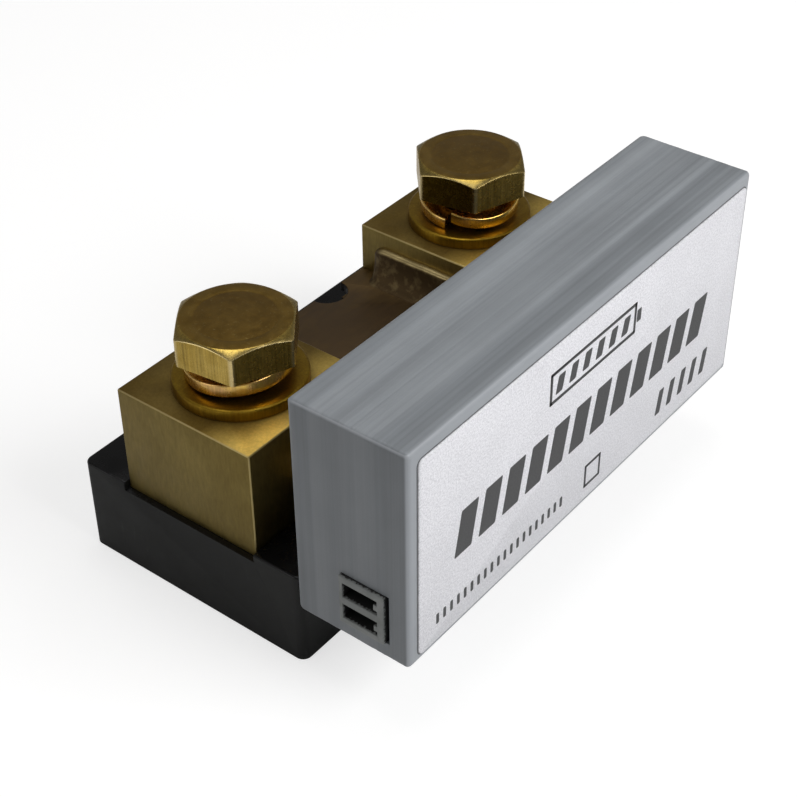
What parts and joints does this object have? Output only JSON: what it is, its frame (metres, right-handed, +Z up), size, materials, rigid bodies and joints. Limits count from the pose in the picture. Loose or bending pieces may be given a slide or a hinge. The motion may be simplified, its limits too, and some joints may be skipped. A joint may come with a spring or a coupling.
{
  "type": "battery monitor shunt",
  "caption": "Current shunt with bolted brass terminal blocks on a moulded base, resistor plates between them, and a grey electronics case with a wire header along one side.",
  "frame": {"origin": "middle of the base's underside, midway between its two mounting holes", "axes": "+X from the near terminal block to the far one, the case on the -Y side with its label facing -Y, +Z up out of the base"},
  "size_m": [0.088, 0.0644, 0.0501],
  "materials": {
    "moulded_black": "satin black moulding",
    "block_brass": "sanded",
    "manganin": "dull, brown",
    "braze_metal": "bright",
    "bolt_brass": "rolled, satin",
    "washer_brass": "satin",
    "spring_bronze": "satin",
    "zinc_steel": "zinc plated",
    "spacer_brass": "turned",
    "case_grey": "layered print",
    "cover_grey": "layered print",
    "label_film": "satin film",
    "board_green": "lacquered",
    "header_grey": "moulded",
    "tinned_metal": "tinned",
    "chip_black": "moulded",
    "core_grey": "ferrite",
    "can_metal": "drawn can",
    "ceramic_tan": "ceramic"
  },
  "bodies": {
    "shunt_body": {"base": "moulded_black", "near_terminal_block": "block_brass", "far_terminal_block": "block_brass", "top_resistor_plate": "manganin", "middle_resistor_plate": "manganin", "bottom_resistor_plate": "manganin", "near_braze_fillet": "braze_metal", "far_braze_fillet": "braze_metal", "base_block_screws": "zinc_steel", "near_sense_spacer": "spacer_brass", "far_sense_spacer": "spacer_brass", "sense_screws": "zinc_steel", "sense_screw_washers": "zinc_steel", "case_shell": "case_grey", "case_back_cover": "cover_grey", "case_screws": "zinc_steel", "front_label": "label_film", "circuit_board": "board_green", "wire_header_housing": "header_grey", "wire_header_pins": "tinned_metal", "wireless_module_board": "board_green", "wireless_module_shield": "tinned_metal", "current_sense_chip": "chip_black", "regulator_chip": "chip_black", "power_inductor": "core_grey", "bulk_capacitor": "can_metal", "input_fuse": "ceramic_tan", "surge_diode": "chip_black", "filter_capacitors": "ceramic_tan"},
    "near_washers": {"near_flat_washer": "washer_brass", "near_lock_washer": "spring_bronze"},
    "near_bolt": {"near_terminal_bolt": "bolt_brass"},
    "far_washers": {"far_flat_washer": "washer_brass", "far_lock_washer": "spring_bronze"},
    "far_bolt": {"far_terminal_bolt": "bolt_brass"}
  },
  "joints": [
    {"name": "near_bolt_lift", "type": "slide", "parent": "shunt_body", "child": "near_washers", "axis": [0, 0, 1], "range_m": [0, 0.0135]},
    {"name": "near_bolt_turn", "type": "hinge", "parent": "near_washers", "child": "near_bolt", "pos_m": [-0.0283, 0, 0.034], "axis": [0, 0, 1], "range_deg": [0, 3240]},
    {"name": "far_bolt_lift", "type": "slide", "parent": "shunt_body", "child": "far_washers", "axis": [0, 0, 1], "range_m": [0, 0.0135]},
    {"name": "far_bolt_turn", "type": "hinge", "parent": "far_washers", "child": "far_bolt", "pos_m": [0.0283, 0, 0.034], "axis": [0, 0, 1], "range_deg": [0, 3240]}
  ],
  "couplings": [
    {"joint": "near_bolt_turn", "follows": "near_bolt_lift", "rad_per_m": 4188.8},
    {"joint": "far_bolt_turn", "follows": "far_bolt_lift", "rad_per_m": 4188.8}
  ]
}
